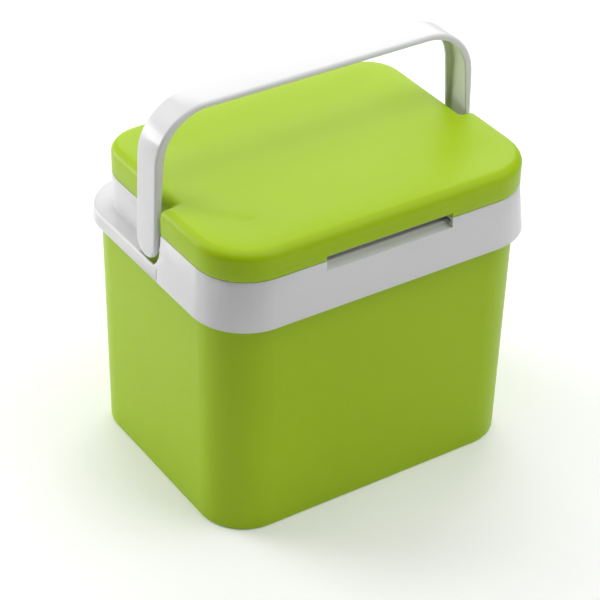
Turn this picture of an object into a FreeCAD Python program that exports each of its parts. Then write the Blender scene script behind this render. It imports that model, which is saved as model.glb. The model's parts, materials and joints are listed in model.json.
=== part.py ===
"""Small insulated cool box: drafted tub, collar, lift-off lid and a swinging bail handle.

Axes: +X along the front, the front faces -Y, +Z is up. The origin is at the middle of the base.
All sizes are in millimetres. The driving sizes are in SIZES and fill the spreadsheet "dims".
"""

import FreeCAD, Part
import math
import os
import Sketcher
from FreeCAD import Vector

SIZES = {
    # green tub: half sizes at the base, and the draft in degrees up to the rim under the collar's ledge
    "tub_foot_x": 144.35,
    "tub_foot_y": 111.0,
    "tub_foot_corner": 41.0,
    "tub_rim_z": 213.5,
    "tub_draft": 0.8,
    "tub_wall": 2.2,
    "tub_foot_round": 2.0,
    "foot_groove_x": 118.0,
    "foot_groove_y": 85.0,
    "foot_groove_corner": 22.0,
    "foot_groove_width": 5.0,
    "foot_groove_depth": 1.2,
    # flange round the tub's rim, which carries the collar
    "flange_x": 150.9,
    "flange_y": 117.5,
    "flange_corner": 44.7,
    "flange_mouth_x": 138.0,
    "flange_mouth_y": 105.6,
    "flange_mouth_corner": 32.0,
    # white collar: half sizes at its lower edge and at the lid seat
    "collar_foot_x": 153.7,
    "collar_foot_y": 120.3,
    "collar_foot_corner": 47.5,
    "collar_foot_z": 203.7,
    "collar_seat_x": 150.0,
    "collar_seat_y": 116.7,
    "collar_seat_corner": 47.0,
    "seat_z": 247.3,
    "ledge_z": 216.3,
    "ledge_round": 3.0,
    "collar_edge": 0.8,
    "skin": 2.5,
    # the rear part of the collar and of the lid stands in, so that the handle folds round it
    "rear_x": 138.6,
    "rear_y": 103.5,
    "rear_corner": 34.0,
    "step_y": 18.0,
    "step_corner": 3.0,
    "clear_y": 170.0,
    "clear_x": 190.0,
    # pivot of the handle and the pocket round the arm's end
    "pivot_z": 233.0,
    "pocket_radius": 20.3,
    "pocket_front": 11.1,
    "pocket_rim_x": 151.2,
    "stud_radius": 5.0,
    "stud_clearance": 0.06,
    "stud_end_x": 133.6,
    # fine groove down the skirt, where the full-height front of the collar begins
    "seam_width": 0.7,
    "seam_floor_x": 152.2,
    # finger recess in the middle of the front, half in the collar and half in the lid
    "finger_x": 59.5,
    "finger_wall_y": 108.0,
    "finger_floor_z": 238.9,
    "finger_top_z": 252.0,
    "finger_cove": 8.3,
    # lid
    "lid_foot_z": 247.6,
    "lid_top_z": 273.0,
    "lid_dish": 1.5,
    "lid_round": 8.0,
    "lid_wall": 2.5,
    "panel_gap": 0.3,
    "panel_foot_z": 248.0,
    "panel_thick": 2.0,
    "plug_x": 121.0,
    "plug_front": 100.0,
    "plug_rear": 90.0,
    "plug_corner": 29.0,
    "plug_foot_z": 229.4,
    # inner liner, set a little forward because the rear wall of the collar stands in
    "liner_foot_x": 117.0,
    "liner_foot_front": 96.0,
    "liner_foot_rear": 86.0,
    "liner_foot_corner": 26.0,
    "liner_foot_z": 26.0,
    "liner_rim_x": 124.0,
    "liner_rim_front": 103.0,
    "liner_rim_rear": 93.0,
    "liner_rim_corner": 32.0,
    "liner_wall": 1.8,
    "liner_flange": 3.5,
    "liner_flange_thick": 2.0,
    # foam
    "foam_gap": 0.3,
    "foam_neck_x": 131.5,
    "foam_neck_front": 105.0,
    "foam_neck_rear": 99.0,
    "foam_neck_corner": 33.0,
    "foam_top_z": 244.6,
    # handle: a strap bent into a bail, its arms thin at the foot and deeper at the shoulder.
    # The foot sizes are at the arm's lower end, the shoulder is where the corner's arc begins.
    "strap_half": 14.8,
    "arm_foot_x": 153.0,
    "arm_shoulder_x": 150.4,
    "arm_shoulder_z": 304.5,
    "handle_top_z": 349.5,
    "inner_foot_x": 149.4,
    "inner_shoulder_x": 142.7,
    "inner_shoulder_z": 308.0,
    "bar_depth": 4.5,
    "strap_round": 2.6,
    "strap_edge": 0.8,
    # channel along the inside of the strap
    "strap_rim": 2.6,
    "strap_web": 2.2,
    "channel_foot_x": 149.8,
    "channel_clear_x": 140.0,
    # hub between the arm and the collar's set-in wall, round the stud
    "hub_radius": 9.0,
    "hub_end_x": 139.2,
    "hub_root_x": 149.0,
}


def number(terms):
    """Value of words such as "seat_z - skin": names from SIZES and plain numbers, added or subtracted."""
    total = 0.0
    sign = 1.0
    for word in terms.split():
        if word in "+-":
            sign = 1.0 if word == "+" else -1.0
            continue
        total += sign * (SIZES[word] if word in SIZES else float(word))
        sign = 1.0
    return total


def formula(terms):
    """The same words as an expression that reads the spreadsheet."""
    return " ".join("dims." + word if word in SIZES else word for word in terms.split())


def new_document():
    document = FreeCAD.newDocument("cool_box")
    sheet = document.addObject("Spreadsheet::Sheet", "dims")
    for row, (name, value) in enumerate(SIZES.items(), start=1):
        sheet.set("A%d" % row, name)
        sheet.set("B%d" % row, str(value))
        sheet.setAlias("B%d" % row, name)
    document.recompute()
    return document


DOC = new_document()


def new_body(label):
    body = DOC.addObject("PartDesign::Body", label)
    body.Label = label
    return body


def new_sketch(body, role, offset="0"):
    """Sketch on one of the body's own origin planes, moved along the plane's normal."""
    plane = [item for item in body.Origin.OriginFeatures if item.Role == role][0]
    sketch = body.newObject("Sketcher::SketchObject", body.Label + "_sketch")
    sketch.AttachmentSupport = [(plane, "")]
    sketch.MapMode = "FlatFace"
    sketch.setExpression("AttachmentOffset.Base.z", formula(offset))
    return sketch


def fix(sketch, constraint, terms):
    """Adds a constraint and binds its value to the spreadsheet."""
    index = sketch.addConstraint(constraint)
    sketch.setExpression("Constraints[%d]" % index, formula(terms))


def outline(sketch, edges, radii):
    """Closed outline of upright and level edges, in order and anticlockwise, with rounded corners.

    Each edge is ("x", terms) for an upright line or ("y", terms) for a level one, and radii holds
    the terms for the corner after each edge, or "0" for a sharp one.
    """
    count = len(edges)
    corners = []
    for index, (axis, terms) in enumerate(edges):
        other = edges[(index + 1) % count][1]
        x, y = (terms, other) if axis == "x" else (other, terms)
        corners.append(Vector(number(x), number(y), 0))
    ways = [(corners[index] - corners[index - 1]).normalize() for index in range(count)]

    lines = []
    for index in range(count):
        start = corners[index - 1] + ways[index] * number(radii[index - 1])
        end = corners[index] - ways[index] * number(radii[index])
        lines.append(sketch.addGeometry(Part.LineSegment(start, end)))

    for index, (axis, terms) in enumerate(edges):
        upright = axis == "x"
        sketch.addConstraint(Sketcher.Constraint("Vertical" if upright else "Horizontal", lines[index]))
        kind = "DistanceX" if upright else "DistanceY"
        distance = Sketcher.Constraint(kind, -1, 1, lines[index], 1, number(terms))
        fix(sketch, distance, terms)

    for index in range(count):
        following = (index + 1) % count
        radius = number(radii[index])
        if radius == 0:
            joint = Sketcher.Constraint("Coincident", lines[index], 2, lines[following], 1)
            sketch.addConstraint(joint)
            continue
        first, second = ways[index], ways[following]
        left_turn = first.x * second.y - first.y * second.x > 0
        centre = corners[index] + (second - first) * radius
        start_way = -second if left_turn else first
        begin = math.atan2(start_way.y, start_way.x)
        circle = Part.Circle(centre, Vector(0, 0, 1), radius)
        arc = sketch.addGeometry(Part.ArcOfCircle(circle, begin, begin + math.pi / 2))
        entry, leave = (1, 2) if left_turn else (2, 1)
        sketch.addConstraint(Sketcher.Constraint("Tangent", lines[index], 2, arc, entry))
        sketch.addConstraint(Sketcher.Constraint("Tangent", arc, leave, lines[following], 1))
        fix(sketch, Sketcher.Constraint("Radius", arc, radius), radii[index])


def negated(terms):
    """The same words with every sign between them turned round, to follow a minus sign."""
    turned = {"+": "-", "-": "+"}
    return " ".join(turned.get(word, word) for word in terms.split())


def negative(terms):
    return "0 - " + negated(terms)


def box(sketch, right, front, rear, corner="0"):
    """Rectangle, alike on both sides of the middle, from y = -front to y = rear."""
    edges = [("y", negative(front)), ("x", right), ("y", rear), ("x", negative(right))]
    outline(sketch, edges, [corner] * 4)


def stepped_box(sketch, inset="0", step_corner="0"):
    """Outline of the lid, full width in front of the step and set in behind it, drawn in by inset."""
    front_side = "collar_seat_x - " + inset
    rear_side = "rear_x - " + inset
    step = "0 - step_y - " + inset
    edges = [
        ("y", negative("collar_seat_y - " + inset)),
        ("x", front_side),
        ("y", step),
        ("x", rear_side),
        ("y", "rear_y - " + inset),
        ("x", negative(rear_side)),
        ("y", step),
        ("x", negative(front_side)),
    ]
    front_corner = "collar_seat_corner - " + inset
    rear_corner = "rear_corner - " + inset
    radii = [front_corner, step_corner, step_corner, rear_corner]
    outline(sketch, edges, radii + radii[::-1])


def disc(sketch, radius, up="0"):
    """Circle on the sketch's upright middle line."""
    circle = Part.Circle(Vector(0, number(up), 0), Vector(0, 0, 1), number(radius))
    index = sketch.addGeometry(circle)
    sketch.addConstraint(Sketcher.Constraint("PointOnObject", index, 3, -2))
    fix(sketch, Sketcher.Constraint("DistanceY", -1, 1, index, 3, number(up)), up)
    fix(sketch, Sketcher.Constraint("Radius", index, number(radius)), radius)


def disc_above(sketch, radius, up, floor):
    """The part of a circle on the upright middle line that lies above a level chord."""
    half = math.sqrt(number(radius) ** 2 - (number(up) - number(floor)) ** 2)
    drop = math.asin((number(up) - number(floor)) / number(radius))
    circle = Part.Circle(Vector(0, number(up), 0), Vector(0, 0, 1), number(radius))
    arc = sketch.addGeometry(Part.ArcOfCircle(circle, -drop, math.pi + drop))
    left = Vector(-half, number(floor), 0)
    right = Vector(half, number(floor), 0)
    chord = sketch.addGeometry(Part.LineSegment(left, right))
    sketch.addConstraint(Sketcher.Constraint("Coincident", arc, 2, chord, 1))
    sketch.addConstraint(Sketcher.Constraint("Coincident", chord, 2, arc, 1))
    sketch.addConstraint(Sketcher.Constraint("Horizontal", chord))
    sketch.addConstraint(Sketcher.Constraint("PointOnObject", arc, 3, -2))
    fix(sketch, Sketcher.Constraint("DistanceY", -1, 1, arc, 3, number(up)), up)
    fix(sketch, Sketcher.Constraint("DistanceY", -1, 1, chord, 1, number(floor)), floor)
    fix(sketch, Sketcher.Constraint("Radius", arc, number(radius)), radius)


def extrude(kind, sketch, length, reverse=False, both_ways=False, draft=None):
    """Pad or Pocket of a sketch; a Pocket goes against the sketch's normal unless it is reversed.

    With a draft, the section grows away from the sketch.
    """
    body = sketch.getParentGeoFeatureGroup()
    feature = body.newObject("PartDesign::" + kind, body.Label + "_" + kind.lower())
    feature.Profile = sketch
    feature.Type = "Length"
    feature.SideType = "Symmetric" if both_ways else "One side"
    feature.Reversed = reverse
    feature.setExpression("Length", formula(length))
    if draft:
        feature.setExpression("TaperAngle", formula(draft))
    sketch.Visibility = False
    DOC.recompute()
    return feature


def loft(kind, lowest, *others):
    """Straight-sided AdditiveLoft or SubtractiveLoft through sketches, from the lowest up."""
    body = lowest.getParentGeoFeatureGroup()
    feature = body.newObject("PartDesign::" + kind, body.Label + "_" + kind.lower())
    feature.Profile = lowest
    feature.Sections = list(others)
    feature.Ruled = True
    DOC.recompute()
    return feature


def mirror(body, features):
    """Repeats features on the other side of the YZ plane."""
    plane = [item for item in body.Origin.OriginFeatures if item.Role == "YZ_Plane"][0]
    feature = body.newObject("PartDesign::Mirrored", body.Label + "_mirrored")
    feature.Originals = features
    feature.MirrorPlane = (plane, [""])
    body.Tip = feature
    DOC.recompute()
    return feature


def edges_where(feature, test):
    """Names of the feature's edges whose bounding box passes the test."""
    edges = enumerate(feature.Shape.Edges, start=1)
    return ["Edge%d" % index for index, edge in edges if test(edge.BoundBox)]


def fillet(base, names, radius):
    body = base.getParentGeoFeatureGroup()
    feature = body.newObject("PartDesign::Fillet", body.Label + "_fillet")
    feature.Base = (base, names)
    feature.setExpression("Radius", formula(radius))
    DOC.recompute()
    return feature


def make_outer_tub():
    body = new_body("outer_tub")
    foot = new_sketch(body, "XY_Plane")
    box(foot, "tub_foot_x", "tub_foot_y", "tub_foot_y", "tub_foot_corner")
    block = extrude("Pad", foot, "tub_rim_z", draft="tub_draft")
    fillet(block, edges_where(block, lambda extent: extent.ZMax < 1), "tub_foot_round")

    floor = new_sketch(body, "XY_Plane", "tub_wall")
    inner_y = "tub_foot_y - tub_wall"
    box(floor, "tub_foot_x - tub_wall", inner_y, inner_y, "tub_foot_corner - tub_wall")
    extrude("Pocket", floor, "tub_rim_z", reverse=True, draft="tub_draft")

    groove = new_sketch(body, "XY_Plane")
    box(groove, "foot_groove_x", "foot_groove_y", "foot_groove_y", "foot_groove_corner")
    inner_y = "foot_groove_y - foot_groove_width"
    inner_corner = "foot_groove_corner - foot_groove_width"
    box(groove, "foot_groove_x - foot_groove_width", inner_y, inner_y, inner_corner)
    extrude("Pocket", groove, "foot_groove_depth", reverse=True)

    rim = new_sketch(body, "XY_Plane", "tub_rim_z")
    box(rim, "flange_x", "flange_y", "flange_y", "flange_corner")
    box(rim, "flange_mouth_x", "flange_mouth_y", "flange_mouth_y", "flange_mouth_corner")
    extrude("Pad", rim, "tub_wall", reverse=True)


def make_tub_insulation():
    """Foam that fills the space between the tub and the liner, narrower where it rises in the collar."""
    body = new_body("tub_insulation")
    foot = new_sketch(body, "XY_Plane", "tub_wall + foam_gap")
    inset = "tub_wall - foam_gap"
    foot_y = "tub_foot_y - " + inset
    box(foot, "tub_foot_x - " + inset, foot_y, foot_y, "tub_foot_corner - " + inset)
    shoulder_z = "tub_rim_z - tub_wall - foam_gap"
    extrude("Pad", foot, shoulder_z + " - tub_wall - foam_gap", draft="tub_draft")
    neck = new_sketch(body, "XY_Plane", shoulder_z)
    box(neck, "foam_neck_x", "foam_neck_front", "foam_neck_rear", "foam_neck_corner")
    extrude("Pad", neck, "foam_top_z - " + negated(shoulder_z))
    floor = new_sketch(body, "XY_Plane", "liner_foot_z - foam_gap")
    liner_section(floor, "foot", "foam_gap")
    mouth = new_sketch(body, "XY_Plane", "seat_z")
    liner_section(mouth, "rim", "foam_gap")
    loft("SubtractiveLoft", floor, mouth)


def liner_section(sketch, level, grow):
    """The liner's outside at its foot or its rim, grown outward."""
    name = "liner_" + level
    box(
        sketch,
        name + "_x + " + grow,
        name + "_front + " + grow,
        name + "_rear + " + grow,
        name + "_corner + " + grow,
    )


def make_inner_liner():
    body = new_body("inner_liner")
    foot = new_sketch(body, "XY_Plane", "liner_foot_z")
    liner_section(foot, "foot", "0")
    rim = new_sketch(body, "XY_Plane", "seat_z")
    liner_section(rim, "rim", "0")
    loft("AdditiveLoft", foot, rim)
    flange = new_sketch(body, "XY_Plane", "seat_z")
    liner_section(flange, "rim", "liner_flange")
    extrude("Pad", flange, "liner_flange_thick", reverse=True)
    floor = new_sketch(body, "XY_Plane", "liner_foot_z + liner_wall")
    liner_section(floor, "foot", "0 - liner_wall")
    mouth = new_sketch(body, "XY_Plane", "seat_z")
    liner_section(mouth, "rim", "0 - liner_wall")
    loft("SubtractiveLoft", floor, mouth)


def set_back(body, front, depth):
    """Cuts the collar's outside away behind y = -front, down to the set-in wall."""
    sketch = new_sketch(body, "XY_Plane", "seat_z")
    edges = [
        ("y", negative(front)),
        ("x", "clear_x"),
        ("y", "clear_y"),
        ("x", "0 - clear_x"),
        ("y", negative(front)),
        ("x", "0 - rear_x"),
        ("y", "rear_y"),
        ("x", "rear_x"),
    ]
    outline(sketch, edges, ["0", "0", "0", "0", "0", "rear_corner", "rear_corner", "0"])
    return extrude("Pocket", sketch, depth)


def on_ledge_brink(extent):
    """True for an edge at the ledge's level that lies outside the set-in wall."""
    level = abs(extent.ZMin - number("ledge_z")) + extent.ZLength < 0.1
    beside = max(extent.XMax, -extent.XMin) > number("rear_x") + 1
    behind = extent.YMax > number("rear_y") + 1
    return level and extent.YMax > 0 and (beside or behind)


def make_rim_collar():
    body = new_body("rim_collar")
    edge = new_sketch(body, "XY_Plane", "collar_foot_z")
    edge_y = "collar_foot_y - collar_edge"
    box(edge, "collar_foot_x - collar_edge", edge_y, edge_y, "collar_foot_corner - collar_edge")
    foot = new_sketch(body, "XY_Plane", "collar_foot_z + collar_edge")
    box(foot, "collar_foot_x", "collar_foot_y", "collar_foot_y", "collar_foot_corner")
    seat = new_sketch(body, "XY_Plane", "seat_z")
    box(seat, "collar_seat_x", "collar_seat_y", "collar_seat_y", "collar_seat_corner")
    loft("AdditiveLoft", edge, foot, seat)

    # the rear half: a ledge for the folded handle, and a pocket round each arm's end
    set_back(body, "pocket_radius", "seat_z - pivot_z")
    stepped = set_back(body, "pocket_front", "seat_z - ledge_z")
    brink = edges_where(stepped, on_ledge_brink)
    fillet(stepped, brink, "ledge_round")

    # underside: the skirt over the tub, then the space for the foam
    skirt = new_sketch(body, "XY_Plane", "collar_foot_z")
    box(
        skirt,
        "collar_foot_x - skin",
        "collar_foot_y - skin",
        "collar_foot_y - skin",
        "collar_foot_corner - skin",
    )
    extrude("Pocket", skirt, "ledge_z - skin - collar_foot_z", reverse=True)
    hollow = new_sketch(body, "XY_Plane", "ledge_z - skin")
    stepped_box(hollow, "skin")
    extrude("Pocket", hollow, "seat_z - ledge_z", reverse=True)

    # pocket round each arm's end, which breaks through the ledge inside a thin rim, and the stud's hole
    side_cuts = []
    pocket = new_sketch(body, "YZ_Plane", "rear_x")
    disc_above(pocket, "pocket_radius", "pivot_z", "ledge_z")
    side_cuts.append(extrude("Pocket", pocket, "clear_x - rear_x", reverse=True))
    slot = new_sketch(body, "YZ_Plane", "rear_x")
    disc(slot, "pocket_radius", "pivot_z")
    side_cuts.append(extrude("Pocket", slot, "pocket_rim_x - rear_x", reverse=True))
    hole = new_sketch(body, "YZ_Plane", "stud_end_x")
    disc(hole, "stud_radius + stud_clearance", "pivot_z")
    side_cuts.append(extrude("Pocket", hole, "rear_x - stud_end_x + 1", reverse=True))
    seam = new_sketch(body, "YZ_Plane", "seam_floor_x")
    edges = [
        ("y", "collar_foot_z - 1"),
        ("x", "0 - step_y"),
        ("y", "ledge_z"),
        ("x", "0 - step_y - seam_width"),
    ]
    outline(seam, edges, ["0"] * 4)
    side_cuts.append(extrude("Pocket", seam, "clear_x - seam_floor_x", reverse=True))
    mirror(body, side_cuts)

    # finger recess: a level floor that sweeps up into the wall
    finger_block(body, "finger_floor_z - skin", "seat_z")
    recess = new_sketch(body, "YZ_Plane")
    edges = [
        ("y", "finger_floor_z"),
        ("x", "0 - finger_wall_y"),
        ("y", "lid_top_z"),
        ("x", "0 - clear_y"),
    ]
    outline(recess, edges, ["finger_cove", "0", "0", "0"])
    extrude("Pocket", recess, "finger_x + finger_x", both_ways=True)

    # mouth for the liner, with a rebate for its flange
    mouth = new_sketch(body, "XY_Plane", "seat_z")
    liner_section(mouth, "rim", "foam_gap")
    extrude("Pocket", mouth, "skin")
    rebate = new_sketch(body, "XY_Plane", "seat_z")
    liner_section(rebate, "rim", "liner_flange + foam_gap")
    extrude("Pocket", rebate, "liner_flange_thick")


def make_lid_cover():
    body = new_body("lid_cover")
    foot = new_sketch(body, "XY_Plane", "lid_foot_z")
    stepped_box(foot, "0", "step_corner")
    block = extrude("Pad", foot, "lid_top_z - lid_foot_z")
    top = edges_where(block, lambda extent: extent.ZMin > number("lid_top_z") - 1)
    fillet(block, top, "lid_round")

    hollow = new_sketch(body, "XY_Plane", "lid_foot_z")
    stepped_box(hollow, "lid_wall", "step_corner")
    shell = extrude("Pocket", hollow, "lid_top_z - lid_wall - lid_foot_z", reverse=True)
    ceiling_z = number("lid_top_z - lid_wall")
    ceiling = edges_where(shell, lambda extent: abs(extent.ZMin - ceiling_z) < 0.1 > extent.ZLength)
    fillet(shell, ceiling, "lid_round - lid_wall")

    # wall behind the finger recess, then the recess
    finger_block(body, "lid_foot_z", "finger_top_z + lid_wall")
    notch = new_sketch(body, "XY_Plane", "lid_foot_z")
    box(notch, "finger_x", "clear_y", "0 - finger_wall_y")
    extrude("Pocket", notch, "finger_top_z - lid_foot_z", reverse=True)


def finger_block(body, bottom, top):
    """Solid block inside the front wall, for the finger recess to be cut from."""
    sketch = new_sketch(body, "XY_Plane", bottom)
    box(sketch, "finger_x + skin", "collar_seat_y - 0.5", "0 - finger_wall_y + skin")
    extrude("Pad", sketch, top + " - " + bottom)


def finger_relief(body, level, depth):
    """Notch in a piece inside the lid, clear of the wall behind the finger recess."""
    sketch = new_sketch(body, "XY_Plane", level)
    box(sketch, "finger_x + skin + panel_gap", "clear_y", "0 - finger_wall_y + skin + panel_gap")
    extrude("Pocket", sketch, depth, reverse=True)


def make_lid_insulation():
    body = new_body("lid_insulation")
    slab_z = "panel_foot_z + panel_thick + foam_gap"
    slab = new_sketch(body, "XY_Plane", slab_z)
    stepped_box(slab, "lid_wall - foam_gap", "step_corner")
    block = extrude("Pad", slab, "lid_top_z - lid_wall - lid_dish - foam_gap - " + negated(slab_z))
    top_z = number("lid_top_z - lid_wall - lid_dish - foam_gap")
    top = edges_where(block, lambda extent: extent.ZMin > top_z - 1)
    fillet(block, top, "lid_round - lid_wall")
    finger_relief(body, slab_z, "finger_top_z + lid_wall + panel_gap - " + negated(slab_z))
    plug = new_sketch(body, "XY_Plane", slab_z)
    plug_section(plug, "panel_thick - foam_gap")
    extrude("Pad", plug, slab_z + " - plug_foot_z - panel_thick - foam_gap", reverse=True)


def plug_section(sketch, inset):
    inset = " - " + inset
    box(sketch, "plug_x" + inset, "plug_front" + inset, "plug_rear" + inset, "plug_corner" + inset)


def make_lid_inner_panel():
    """Plate that closes the lid from below, with a hollow plug that drops into the liner's mouth."""
    body = new_body("lid_inner_panel")
    plate = new_sketch(body, "XY_Plane", "panel_foot_z")
    stepped_box(plate, "lid_wall - panel_gap", "step_corner")
    extrude("Pad", plate, "panel_thick")
    finger_relief(body, "panel_foot_z", "panel_thick")
    plug = new_sketch(body, "XY_Plane", "panel_foot_z")
    plug_section(plug, "0")
    extrude("Pad", plug, "panel_foot_z - plug_foot_z", reverse=True)
    hollow = new_sketch(body, "XY_Plane", "panel_foot_z + panel_thick")
    plug_section(hollow, "panel_thick")
    extrude("Pocket", hollow, "panel_foot_z - plug_foot_z")


def arch(sketch, foot_z, foot_x, shoulder_x, shoulder_z, top_z):
    """Leaning side, corner, level top, corner and leaning side; gives the two sides' lines."""
    foot = Vector(number(foot_x), number(foot_z), 0)
    shoulder = Vector(number(shoulder_x), number(shoulder_z), 0)
    lean = math.atan2(foot.x - shoulder.x, shoulder.y - foot.y)
    radius = (number(top_z) - shoulder.y) / (1 - math.sin(lean))
    centre = shoulder - Vector(math.cos(lean), math.sin(lean), 0) * radius
    top = Vector(centre.x, number(top_z), 0)

    def other_side(point):
        return Vector(-point.x, point.y, 0)

    def corner(middle, start, end):
        circle = Part.Circle(middle, Vector(0, 0, 1), radius)
        return sketch.addGeometry(Part.ArcOfCircle(circle, start, end))

    right = sketch.addGeometry(Part.LineSegment(foot, shoulder))
    right_corner = corner(centre, lean, math.pi / 2)
    level = sketch.addGeometry(Part.LineSegment(top, other_side(top)))
    left_corner = corner(other_side(centre), math.pi / 2, math.pi - lean)
    left = sketch.addGeometry(Part.LineSegment(other_side(shoulder), other_side(foot)))

    chain = (right, right_corner, level, left_corner, left)
    for item, following in zip(chain, chain[1:]):
        sketch.addConstraint(Sketcher.Constraint("Tangent", item, 2, following, 1))
    sketch.addConstraint(Sketcher.Constraint("Horizontal", level))
    fix(sketch, Sketcher.Constraint("DistanceY", -1, 1, level, 1, number(top_z)), top_z)
    ends = ((right, 1, foot_x, foot_z), (right, 2, shoulder_x, shoulder_z))
    other_ends = ((left, 2, negative(foot_x), foot_z), (left, 1, negative(shoulder_x), shoulder_z))
    for line, end, across, up in ends + other_ends:
        fix(sketch, Sketcher.Constraint("DistanceX", -1, 1, line, end, number(across)), across)
        fix(sketch, Sketcher.Constraint("DistanceY", -1, 1, line, end, number(up)), up)
    return right, left


def arched_band(sketch, foot_z, outer, inner):
    """The space between two arches that stand on one level."""
    outer_right, outer_left = arch(sketch, foot_z, *outer)
    inner_right, inner_left = arch(sketch, foot_z, *inner)
    for first, first_end, second, second_end in (
        (outer_left, 2, inner_left, 2),
        (inner_right, 1, outer_right, 1),
    ):
        start = sketch.getPoint(first, first_end)
        end = sketch.getPoint(second, second_end)
        foot = sketch.addGeometry(Part.LineSegment(start, end))
        sketch.addConstraint(Sketcher.Constraint("Coincident", first, first_end, foot, 1))
        sketch.addConstraint(Sketcher.Constraint("Coincident", foot, 2, second, second_end))


def round_end(sketch, radius, level):
    """What is cut off below a level line to leave a half disc of the strap's width."""
    half = number(radius)
    high = number(level)
    low_level = " - ".join((level, radius, radius))
    low = number(low_level)
    places = [
        Vector(-half, high, 0),
        Vector(-half, low, 0),
        Vector(half, low, 0),
        Vector(half, high, 0),
    ]
    lines = [sketch.addGeometry(Part.LineSegment(*ends)) for ends in zip(places, places[1:])]
    circle = Part.Circle(Vector(0, high, 0), Vector(0, 0, 1), half)
    arc = sketch.addGeometry(Part.ArcOfCircle(circle, math.pi, 2 * math.pi))
    for line, following in zip(lines, lines[1:]):
        sketch.addConstraint(Sketcher.Constraint("Coincident", line, 2, following, 1))
    sketch.addConstraint(Sketcher.Constraint("Tangent", lines[2], 2, arc, 2))
    sketch.addConstraint(Sketcher.Constraint("Tangent", arc, 1, lines[0], 1))
    sketch.addConstraint(Sketcher.Constraint("Vertical", lines[0]))
    sketch.addConstraint(Sketcher.Constraint("Horizontal", lines[1]))
    sketch.addConstraint(Sketcher.Constraint("PointOnObject", arc, 3, -2))
    fix(sketch, Sketcher.Constraint("DistanceY", -1, 1, arc, 3, high), level)
    fix(sketch, Sketcher.Constraint("DistanceY", -1, 1, lines[1], 1, low), low_level)
    fix(sketch, Sketcher.Constraint("Radius", arc, half), radius)


def on_strap_outside(extent):
    """True for the long edges of the strap's outer face."""
    outside = max(extent.XMax, -extent.XMin) > number("arm_shoulder_x") - 0.1
    across = extent.YLength > number("strap_half")
    seam = extent.ZLength < 0.1 and extent.ZMax < number("arm_shoulder_z")
    return (outside or extent.ZMax > number("handle_top_z") - 0.1) and not across and not seam


def on_strap_inside(extent):
    """True for the long edges of the strap's inner face."""
    inside = max(extent.XMax, -extent.XMin) < number("inner_foot_x") + 0.1
    seam = extent.ZLength < 0.1 and extent.ZMax < number("arm_shoulder_z")
    across = extent.YLength > number("strap_half")
    return inside and extent.ZMax < number("handle_top_z") - 1 and not across and not seam


def make_handle():
    """Bail: two arms and a crossbar of one strap, its section a channel open to the inside."""
    body = new_body("handle")
    strap = new_sketch(body, "XZ_Plane")
    foot_z = "pivot_z - strap_half"
    outer = ("arm_foot_x", "arm_shoulder_x", "arm_shoulder_z", "handle_top_z")
    under_z = "handle_top_z - bar_depth"
    inner = ("inner_foot_x", "inner_shoulder_x", "inner_shoulder_z", under_z)
    arched_band(strap, foot_z, outer, inner)
    extrude("Pad", strap, "strap_half + strap_half", both_ways=True)
    ends = new_sketch(body, "YZ_Plane")
    round_end(ends, "strap_half", "pivot_z")
    blank = extrude("Pocket", ends, "clear_x + clear_x", both_ways=True)
    rounded = fillet(blank, edges_where(blank, on_strap_outside), "strap_round")
    fillet(rounded, edges_where(rounded, on_strap_inside), "strap_edge")

    channel = new_sketch(body, "XZ_Plane")
    web_top = "handle_top_z - strap_web"
    web = ("channel_foot_x", "arm_shoulder_x - strap_web", "arm_shoulder_z", web_top)
    clear = ("channel_clear_x", "channel_clear_x - 1", "inner_shoulder_z - 8", under_z + " - 8")
    arched_band(channel, "pivot_z + strap_half", web, clear)
    extrude("Pocket", channel, "strap_half + strap_half - strap_rim - strap_rim", both_ways=True)

    hub = new_sketch(body, "YZ_Plane", "hub_end_x")
    disc(hub, "hub_radius", "pivot_z")
    hub_pad = extrude("Pad", hub, "hub_root_x - hub_end_x")
    stud = new_sketch(body, "YZ_Plane", "stud_end_x")
    disc(stud, "stud_radius", "pivot_z")
    stud_pad = extrude("Pad", stud, "hub_end_x - stud_end_x")
    mirror(body, [hub_pad, stud_pad])


def make_all():
    make_outer_tub()
    make_tub_insulation()
    make_inner_liner()
    make_rim_collar()
    make_lid_cover()
    make_lid_insulation()
    make_lid_inner_panel()
    make_handle()


def check_and_export():
    """Stops on any failed object or bad shape, then writes one file for each sub-part."""
    DOC.recompute()
    failed = [item.Name for item in DOC.Objects if {"Invalid", "Error"} & set(item.State)]
    if failed:
        raise RuntimeError("failed objects: %s" % failed)
    os.makedirs("parts", exist_ok=True)
    bodies = [item for item in DOC.Objects if item.TypeId == "PartDesign::Body"]
    for body in bodies:
        shape = body.Shape
        if shape.isNull() or not shape.isValid() or len(shape.Solids) != 1:
            raise RuntimeError("bad shape: %s, solids %d" % (body.Label, len(shape.Solids)))
    for body in bodies:
        body.Shape.exportStep("parts/%s.step" % body.Label)


make_all()
check_and_export()
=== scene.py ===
"""Looks for a small insulated cool box: lime-green tub and lid, white collar and bail handle."""

import json
import math

import bpy
from mathutils import Matrix, Vector

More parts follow.
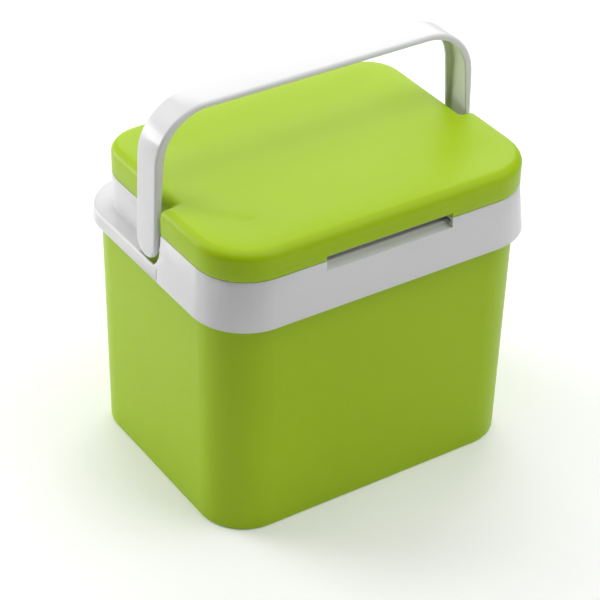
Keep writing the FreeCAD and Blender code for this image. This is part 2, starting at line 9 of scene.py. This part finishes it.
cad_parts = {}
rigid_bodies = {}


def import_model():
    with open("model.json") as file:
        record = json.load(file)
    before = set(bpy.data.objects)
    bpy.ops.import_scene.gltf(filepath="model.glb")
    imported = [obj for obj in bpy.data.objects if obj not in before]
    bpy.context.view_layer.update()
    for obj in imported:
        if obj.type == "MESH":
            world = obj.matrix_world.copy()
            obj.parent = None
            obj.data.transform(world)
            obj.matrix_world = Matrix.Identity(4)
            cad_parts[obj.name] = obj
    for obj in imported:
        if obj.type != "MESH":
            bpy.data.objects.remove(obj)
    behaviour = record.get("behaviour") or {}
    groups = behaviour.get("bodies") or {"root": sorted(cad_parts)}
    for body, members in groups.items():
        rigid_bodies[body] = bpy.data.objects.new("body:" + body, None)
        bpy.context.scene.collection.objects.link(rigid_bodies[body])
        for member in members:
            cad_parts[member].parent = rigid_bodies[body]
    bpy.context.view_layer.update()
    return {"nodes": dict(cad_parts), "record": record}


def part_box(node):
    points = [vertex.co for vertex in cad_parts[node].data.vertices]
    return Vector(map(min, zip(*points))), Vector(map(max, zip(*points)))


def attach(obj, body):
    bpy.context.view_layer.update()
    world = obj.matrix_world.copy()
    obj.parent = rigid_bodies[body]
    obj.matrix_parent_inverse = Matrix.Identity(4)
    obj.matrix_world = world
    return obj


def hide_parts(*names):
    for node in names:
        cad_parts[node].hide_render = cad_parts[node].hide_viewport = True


MM = 0.001

# camera: place in metres, heading from +Y towards +X, dip and roll in degrees, lens in millimetres
CAMERA_PLACE = Vector((-0.869, -1.2845, 1.1927))
CAMERA_YAW = 33.93
CAMERA_PITCH = 34.64
CAMERA_ROLL = 1.52
CAMERA_LENS = 134.25
CAMERA_NEAR = 10.0 * MM

# name, place in metres, size in metres and power in watts of each softbox; all face LIGHT_TARGET
SOFTBOXES = (
    ("overhead", (0.0, 0.0, 1.9), (1.6, 1.6), 17.0),
    ("lid_sheen", (1.25, 1.85, 1.45), (2.4, 1.6), 30.0),
    ("top_rear_left", (-0.9, 1.2, 1.5), (1.2, 1.2), 13.0),
    ("top_front_right", (0.9, -0.9, 1.6), (1.6, 1.6), 17.5),
    ("rear_left", (-1.2, 1.6, 0.5), (1.0, 0.6), 17.5),
)
LIGHT_TARGET = (0.0, 0.0, 0.15)

# sine of the elevation where the surround starts and stops fading, and its strength at each
SURROUND_FADE = (0.09, 0.22, 0.5, 0.02)

# floor: half its side in metres, its two whites and the scale of their clouds, roughness and glow
FLOOR_REACH = 6.0
FLOOR_SHADES = ((0.93, 0.93, 0.93), (0.95, 0.95, 0.95))
FLOOR_CLOUD_SCALE = 3.0
FLOOR_ROUGHNESS = 0.9
FLOOR_GLOW = 0.08

# material colours, as linear light
LIME = (0.345, 0.52, 0.002)
WHITE = (0.66, 0.66, 0.665)
LINER_WHITE = (0.68, 0.68, 0.665)
FOAM_WHITE = (0.74, 0.74, 0.72)

# the part of a noise's range that is stretched over a material's own range
NOISE_LOW = 0.3
NOISE_HIGH = 0.7

# moulded plastic: the scale of each noise, and how far it moves tint, roughness or surface
CLOUD_SCALE = 9.0
CLOUD_TINT = 0.015
PATCH_SCALE = 60.0
PATCH_ROUGHNESS = 0.025
WAVE_SCALE = 10.0
WAVE_HEIGHT = 1.0 * MM
GRAIN_SCALE = 1500.0
GRAIN_HEIGHT = 0.1 * MM

# bead foam: the scale of its beads, the shade of their seams and the relief between them
BEAD_SCALE = 280.0
BEAD_SEAM_SHADE = 0.8
BEAD_RELIEF = 0.6
BEAD_HEIGHT = 1.0 * MM
FOAM_ROUGHNESS = 0.85

# lid's outline: half width behind the step, place of the step beside each arm, its corners' radius
# at the wall and at the top, and the radii of the other corners, with the least that insetting leaves
LID_REAR_X = 138.6 * MM
LID_STEP_Y = -18.0 * MM
LID_STEP_CORNER = 3.0 * MM
LID_STEP_SOFT = 5.5 * MM
LID_FRONT_CORNER = 45.5 * MM
LID_REAR_CORNER = 34.0 * MM
LID_LEAST_CORNER = 6.0 * MM

# lid's section: wall, rounded top edge, drop from the CAD lid's top to the rim, extra thickness under
# the rim, rounded foot and how far in its middle lies, low crown inside the rim, and shallow dish
LID_WALL = 2.5 * MM
LID_ROUND = 8.5 * MM
LID_RIM_DROP = 0.9 * MM
LID_CEILING_DROP = 0.4 * MM
LID_FOOT_ROUND = 0.8 * MM
LID_FOOT_MIDDLE = 0.3 * LID_FOOT_ROUND
LID_CROWN = 0.2 * MM
LID_DISH = 1.6 * MM
LID_DISH_INSET = 62.0 * MM
# how many times narrower the crown is than the slope of the dish
LID_CROWN_PACE = 2.2

# finger notch in the lid's front: half its length, its back wall, its height, and how far its cutter
# reaches outside the lid
FINGER_X = 59.5 * MM
FINGER_WALL_Y = -108.0 * MM
FINGER_RISE = 4.4 * MM
CUT_BEYOND = 20.0 * MM

# lip of the inner panel in the notch: its front face and the gap round it
LIP_FRONT_Y = -110.6 * MM
LIP_GAP = 0.1 * MM

# straight pieces in each arc or slope
CORNER_STEPS = 8
INNER_TURN_STEPS = 4
OUTER_TURN_STEPS = 8
DISH_STEPS = 7

# softened edges: width on each kind of piece, least angle in degrees, strips across the edge, and
# the distance at which points are joined first
LID_EDGE = 0.7 * MM
LIP_EDGE = 0.3 * MM
CAD_EDGE = 0.4 * MM
EDGE_ANGLE = 30.0
EDGE_SEGMENTS = 2
WELD_DISTANCE = 0.01 * MM


def clear_default_objects():
    """Empties the start-up scene."""
    for obj in list(bpy.data.objects):
        bpy.data.objects.remove(obj)


def make_camera():
    """Camera that looks down on the front left corner, heading from +Y towards +X."""
    yaw, pitch, roll = (math.radians(angle) for angle in (CAMERA_YAW, CAMERA_PITCH, CAMERA_ROLL))
    ahead = Vector((math.sin(yaw) * math.cos(pitch), math.cos(yaw) * math.cos(pitch), -math.sin(pitch)))
    right = Vector((math.cos(yaw), -math.sin(yaw), 0))
    up = right.cross(ahead)
    turned_right = right * math.cos(roll) + up * math.sin(roll)
    turned_up = up * math.cos(roll) - right * math.sin(roll)
    data = bpy.data.cameras.new("camera")
    data.lens = CAMERA_LENS
    data.clip_start = CAMERA_NEAR
    camera = bpy.data.objects.new("camera", data)
    bpy.context.scene.collection.objects.link(camera)
    axes = Matrix((turned_right, turned_up, -ahead)).transposed()
    camera.matrix_world = Matrix.Translation(CAMERA_PLACE) @ axes.to_4x4()
    bpy.context.scene.camera = camera


def make_softbox(name, place, size, power):
    """Area light that lights the box and shows in its gloss, but not in the picture itself."""
    data = bpy.data.lights.new(name, "AREA")
    data.shape = "RECTANGLE"
    data.size, data.size_y = size
    data.energy = power
    light = bpy.data.objects.new(name, data)
    bpy.context.scene.collection.objects.link(light)
    light.location = place
    light.visible_camera = False
    aim = Vector(LIGHT_TARGET) - Vector(place)
    light.rotation_euler = aim.to_track_quat("-Z", "Y").to_euler()


def make_surround():
    """World that is pale all round at eye level and dark overhead and underfoot."""
    world = bpy.data.worlds.new("studio")
    world.use_nodes = True
    nodes, links = world.node_tree.nodes, world.node_tree.links
    split = nodes.new("ShaderNodeSeparateXYZ")
    links.new(nodes.new("ShaderNodeTexCoord").outputs["Generated"], split.inputs["Vector"])
    slope = nodes.new("ShaderNodeMath")
    slope.operation = "ABSOLUTE"
    links.new(split.outputs["Z"], slope.inputs["Value"])
    fade = nodes.new("ShaderNodeMapRange")
    fade.interpolation_type = "SMOOTHSTEP"
    for limit, value in zip(("From Min", "From Max", "To Min", "To Max"), SURROUND_FADE):
        fade.inputs[limit].default_value = value
    links.new(slope.outputs["Value"], fade.inputs["Value"])
    background = nodes["Background"]
    background.inputs["Color"].default_value = (1, 1, 1, 1)
    links.new(fade.outputs["Result"], background.inputs["Strength"])
    bpy.context.scene.world = world


def make_studio():
    """White floor, pale surround, and softboxes overhead and at each corner but the camera's."""
    bpy.context.scene.view_settings.view_transform = "Standard"
    make_surround()
    for softbox in SOFTBOXES:
        make_softbox(*softbox)
    reach = FLOOR_REACH
    corners = [(-reach, -reach, 0), (reach, -reach, 0), (reach, reach, 0), (-reach, reach, 0)]
    floor = add_mesh("floor", corners, [(0, 1, 2, 3)])
    paint(floor, floor_material())


class Shader:
    """A new material with a Principled shader, and short calls to add nodes to it."""

    def __init__(self, name):
        self.material = bpy.data.materials.new(name)
        self.material.use_nodes = True
        self.tree = self.material.node_tree
        self.surface = self.tree.nodes["Principled BSDF"]
        self.place = self.add("ShaderNodeTexCoord").outputs["Object"]

    def add(self, kind, **inputs):
        """New node with its inputs set; an underscore stands for a space in an input's name."""
        node = self.tree.nodes.new(kind)
        for name, value in inputs.items():
            node.inputs[name.replace("_", " ")].default_value = value
        return node

    def link(self, output, target):
        """Joins a node's output to another node's input."""
        self.tree.links.new(output, target)

    def set(self, **inputs):
        """Sets inputs of the Principled shader, named as in add."""
        for name, value in inputs.items():
            self.surface.inputs[name.replace("_", " ")].default_value = value

    def noise(self, scale, detail=2.0):
        """Noise fixed to the piece, with features about 1 / scale metres across."""
        node = self.add("ShaderNodeTexNoise", Scale=scale, Detail=detail)
        self.link(self.place, node.inputs["Vector"])
        return node.outputs["Fac"]

    def spread(self, value, low, high):
        """Maps a noise's middle range to the given range."""
        limits = {"From_Min": NOISE_LOW, "From_Max": NOISE_HIGH, "To_Min": low, "To_Max": high}
        node = self.add("ShaderNodeMapRange", **limits)
        self.link(value, node.inputs["Value"])
        return node.outputs["Result"]

    def mix(self, factor, first, second):
        """Goes from the first colour to the second as the factor goes from 0 to 1."""
        node = self.tree.nodes.new("ShaderNodeMix")
        node.data_type = "RGBA"
        self.link(factor, node.inputs["Factor"])
        targets = [socket for socket in node.inputs if socket.type == "RGBA"]
        for target, colour in zip(targets, (first, second)):
            target.default_value = (*colour, 1)
        return [socket for socket in node.outputs if socket.type == "RGBA"][0]

    def bump(self, height, strength, distance, under=None):
        """Surface relief from a height, on top of another relief if one is given."""
        node = self.add("ShaderNodeBump", Strength=strength, Distance=distance)
        self.link(height, node.inputs["Height"])
        if under:
            self.link(under, node.inputs["Normal"])
        return node.outputs["Normal"]


def floor_material():
    """Near-white floor with a faint glow, so that it stays pale far from the lights."""
    shader = Shader("studio_floor")
    cloud = shader.spread(shader.noise(FLOOR_CLOUD_SCALE), 0.0, 1.0)
    shader.link(shader.mix(cloud, *FLOOR_SHADES), shader.surface.inputs["Base Color"])
    shader.set(Roughness=FLOOR_ROUGHNESS, Emission_Color=(1, 1, 1, 1), Emission_Strength=FLOOR_GLOW)
    return shader.material


def scaled(colour, factor):
    """The colour made lighter or darker by a factor."""
    return tuple(channel * factor for channel in colour)


def moulded_plastic(name, colour, roughness, gloss, grain=0.1, waves=0.05):
    """Injection-moulded plastic: faintly cloudy and patchy, with fine grain and broad, shallow waves."""
    shader = Shader(name)
    cloud = shader.spread(shader.noise(CLOUD_SCALE, detail=3.0), 0.0, 1.0)
    tint = shader.mix(cloud, scaled(colour, 1 - CLOUD_TINT), scaled(colour, 1 + CLOUD_TINT))
    shader.link(tint, shader.surface.inputs["Base Color"])
    patches = shader.noise(PATCH_SCALE, detail=4.0)
    patchy = shader.spread(patches, roughness - PATCH_ROUGHNESS, roughness + PATCH_ROUGHNESS)
    shader.link(patchy, shader.surface.inputs["Roughness"])
    slow = shader.bump(shader.noise(WAVE_SCALE, detail=0.0), waves, WAVE_HEIGHT)
    fine = shader.bump(shader.noise(GRAIN_SCALE), grain, GRAIN_HEIGHT, under=slow)
    shader.link(fine, shader.surface.inputs["Normal"])
    shader.set(Specular_IOR_Level=gloss)
    return shader.material


def bead_foam(name, colour):
    """Expanded foam: closed beads a few millimetres across, shaded and sunk away from their middles."""
    shader = Shader(name)
    cells = shader.add("ShaderNodeTexVoronoi", Scale=BEAD_SCALE)
    shader.link(shader.place, cells.inputs["Vector"])
    from_middle = cells.outputs["Distance"]
    tint = shader.mix(from_middle, colour, scaled(colour, BEAD_SEAM_SHADE))
    shader.link(tint, shader.surface.inputs["Base Color"])
    relief = shader.bump(from_middle, BEAD_RELIEF, -BEAD_HEIGHT)
    shader.link(relief, shader.surface.inputs["Normal"])
    shader.set(Roughness=FOAM_ROUGHNESS)
    return shader.material


def paint(obj, material):
    """Gives a piece this material and no other."""
    obj.data.materials.clear()
    obj.data.materials.append(material)


def add_mesh(name, points, faces):
    """New object in the scene, made of these points and faces."""
    mesh = bpy.data.meshes.new(name)
    mesh.from_pydata(points, [], faces)
    mesh.update()
    obj = bpy.data.objects.new(name, mesh)
    bpy.context.scene.collection.objects.link(obj)
    return obj


def block(name, low, high):
    """Box between its lowest and highest corners."""
    points = [(x, y, z) for z in (low[2], high[2]) for y in (low[1], high[1]) for x in (low[0], high[0])]
    faces = [(0, 2, 3, 1), (4, 5, 7, 6), (0, 1, 5, 4), (2, 6, 7, 3), (0, 4, 6, 2), (1, 3, 7, 5)]
    return add_mesh(name, points, faces)


def combine(obj, tool, operation):
    """Boolean with another mesh, which is then removed; the result becomes the piece's own mesh."""
    modifier = obj.modifiers.new("combine", "BOOLEAN")
    modifier.operation = operation
    modifier.solver = "EXACT"
    modifier.object = tool
    depsgraph = bpy.context.evaluated_depsgraph_get()
    mesh = bpy.data.meshes.new_from_object(obj.evaluated_get(depsgraph))
    obj.modifiers.clear()
    obj.data = mesh
    bpy.data.objects.remove(tool)


def soften_edges(obj, width):
    """Rounds the sharp edges and shades the rest smoothly."""
    weld = obj.modifiers.new("weld", "WELD")
    weld.merge_threshold = WELD_DISTANCE
    bevel = obj.modifiers.new("soften", "BEVEL")
    bevel.width = width
    bevel.segments = EDGE_SEGMENTS
    bevel.limit_method = "ANGLE"
    bevel.angle_limit = math.radians(EDGE_ANGLE)
    bevel.harden_normals = True
    for face in obj.data.polygons:
        face.use_smooth = True


def rounded_outline(corners, steps):
    """Points round a right-angled outline; each corner is (place, radius) and gives an arc."""
    points = []
    for index, (place, radius) in enumerate(corners):
        following = corners[(index + 1) % len(corners)][0]
        arriving = (place - corners[index - 1][0]).normalized()
        leaving = (following - place).normalized()
        centre = place + (leaving - arriving) * radius
        for step in range(steps + 1):
            turn = math.pi / 2 * step / steps
            points.append(centre - leaving * radius * math.cos(turn) + arriving * radius * math.sin(turn))
    return points


def lid_outline(inset):
    """The lid's outline drawn in by inset: full width in front of the step, narrower behind it."""
    low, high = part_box("lid_cover")
    front, rear = low[1] + inset, high[1] - inset
    wide, narrow = high[0] - inset, LID_REAR_X - inset
    step = LID_STEP_Y - inset
    softening = min(1.0, inset / LID_ROUND)
    step_radius = LID_STEP_CORNER + (LID_STEP_SOFT - LID_STEP_CORNER) * softening
    front_radius = max(LID_FRONT_CORNER - inset, LID_LEAST_CORNER)
    rear_radius = max(LID_REAR_CORNER - inset, LID_LEAST_CORNER)
    half = [
        (wide, front, front_radius),
        (wide, step, step_radius),
        (narrow, step, step_radius),
        (narrow, rear, rear_radius),
    ]
    other_half = [(-x, y, radius) for x, y, radius in reversed(half)]
    corners = [(Vector((x, y)), radius) for x, y, radius in half + other_half]
    return rounded_outline(corners, CORNER_STEPS)


def quarter_round(inset, level, across, rise, steps):
    """(inset, level) pairs of a quarter ellipse that leaves an upright wall and ends level."""
    turns = [math.pi / 2 * step / steps for step in range(steps + 1)]
    return [(inset + across * (1 - math.cos(turn)), level + rise * math.sin(turn)) for turn in turns]


def lid_rings(foot, top):
    """(inset, level) of the lid's rings: down inside it, round its foot, up outside and over the top."""
    wall_top = top - LID_ROUND
    rim = top - LID_RIM_DROP
    ceiling = rim - LID_WALL - LID_CEILING_DROP
    inner_across = LID_ROUND - LID_WALL
    inner_turn = quarter_round(LID_WALL, wall_top, inner_across, ceiling - wall_top, INNER_TURN_STEPS)
    foot_turn = [
        (LID_WALL, foot),
        (LID_FOOT_ROUND, foot),
        (LID_FOOT_MIDDLE, foot + LID_FOOT_MIDDLE),
        (0.0, foot + LID_FOOT_ROUND),
    ]
    outer_turn = quarter_round(0.0, wall_top, LID_ROUND, rim - wall_top, OUTER_TURN_STEPS)
    dish = []
    for step in range(1, DISH_STEPS + 1):
        share = step / DISH_STEPS
        inset = LID_ROUND + (LID_DISH_INSET - LID_ROUND) * share
        swell = LID_CROWN * math.sin(math.pi * min(1.0, LID_CROWN_PACE * share))
        sink = LID_DISH * (1 - math.cos(math.pi * share)) / 2
        dish.append((inset, rim + swell - sink))
    return inner_turn[::-1] + foot_turn + outer_turn + dish


def shell_of_rings(name, rings, outline):
    """Closed skin through level rings, each (inset, level), capped at its first and last ring."""
    points = []
    for inset, level in rings:
        points.extend((place.x, place.y, level) for place in outline(inset))
    count = len(points) // len(rings)
    faces = [tuple(reversed(range(count)))]
    for ring in range(len(rings) - 1):
        first, second = ring * count, (ring + 1) * count
        for index in range(count):
            following = (index + 1) % count
            faces.append((first + index, first + following, second + following, second + index))
    last = (len(rings) - 1) * count
    faces.append(tuple(range(last, last + count)))
    return add_mesh(name, points, faces)


def cut_finger_notch(lid, foot, front):
    """Opens the lid's foot at the front, with a wall behind the opening and a roof over it."""
    roof = foot + FINGER_RISE
    wall_low = (-FINGER_X - LID_WALL, front + LID_FOOT_ROUND, foot)
    wall_high = (FINGER_X + LID_WALL, FINGER_WALL_Y + LID_WALL, roof + LID_WALL)
    combine(lid, block("wall", wall_low, wall_high), "UNION")
    notch_low = (-FINGER_X, front - CUT_BEYOND, foot - CUT_BEYOND)
    notch_high = (FINGER_X, FINGER_WALL_Y, roof)
    combine(lid, block("notch", notch_low, notch_high), "DIFFERENCE")


def make_lid_shell(material):
    """Lid: soft top edge, low crown inside the rim, shallow dish, and the finger notch in front."""
    low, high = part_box("lid_cover")
    lid = shell_of_rings("lid_shell", lid_rings(low[2], high[2]), lid_outline)
    cut_finger_notch(lid, low[2], low[1])
    soften_edges(lid, LID_EDGE)
    paint(lid, material)
    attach(lid, "lid")
    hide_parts("lid_cover")


def make_lid_panel_lip(material):
    """Front edge of the lid's inner panel, which shows in the finger notch."""
    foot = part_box("lid_cover")[0].z
    roof = foot + FINGER_RISE
    lip_low = (-FINGER_X + LIP_GAP, LIP_FRONT_Y, foot + LIP_GAP)
    lip_high = (FINGER_X - LIP_GAP, FINGER_WALL_Y - LIP_GAP, roof - LIP_GAP)
    lip = block("lid_panel_lip", lip_low, lip_high)
    soften_edges(lip, LIP_EDGE)
    paint(lip, material)
    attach(lip, "lid")


clear_default_objects()
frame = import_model()
make_camera()
make_studio()

green = moulded_plastic("green_plastic", LIME, roughness=0.4, gloss=0.2, waves=0.01)
white = moulded_plastic("white_plastic", WHITE, roughness=0.3, gloss=0.5, grain=0.04, waves=0.02)
liner = moulded_plastic("liner_plastic", LINER_WHITE, roughness=0.4, gloss=0.5)
foam = bead_foam("foam", FOAM_WHITE)
finishes = {
    "green_plastic": green,
    "white_plastic": white,
    "white_liner_plastic": liner,
    "foam": foam,
}
for part in frame["record"]["subparts"]:
    paint(frame["nodes"][part["node"]], finishes[part["material_slot"]])
make_lid_shell(green)
make_lid_panel_lip(white)
for name in ("rim_collar", "handle"):
    soften_edges(frame["nodes"][name], CAD_EDGE)
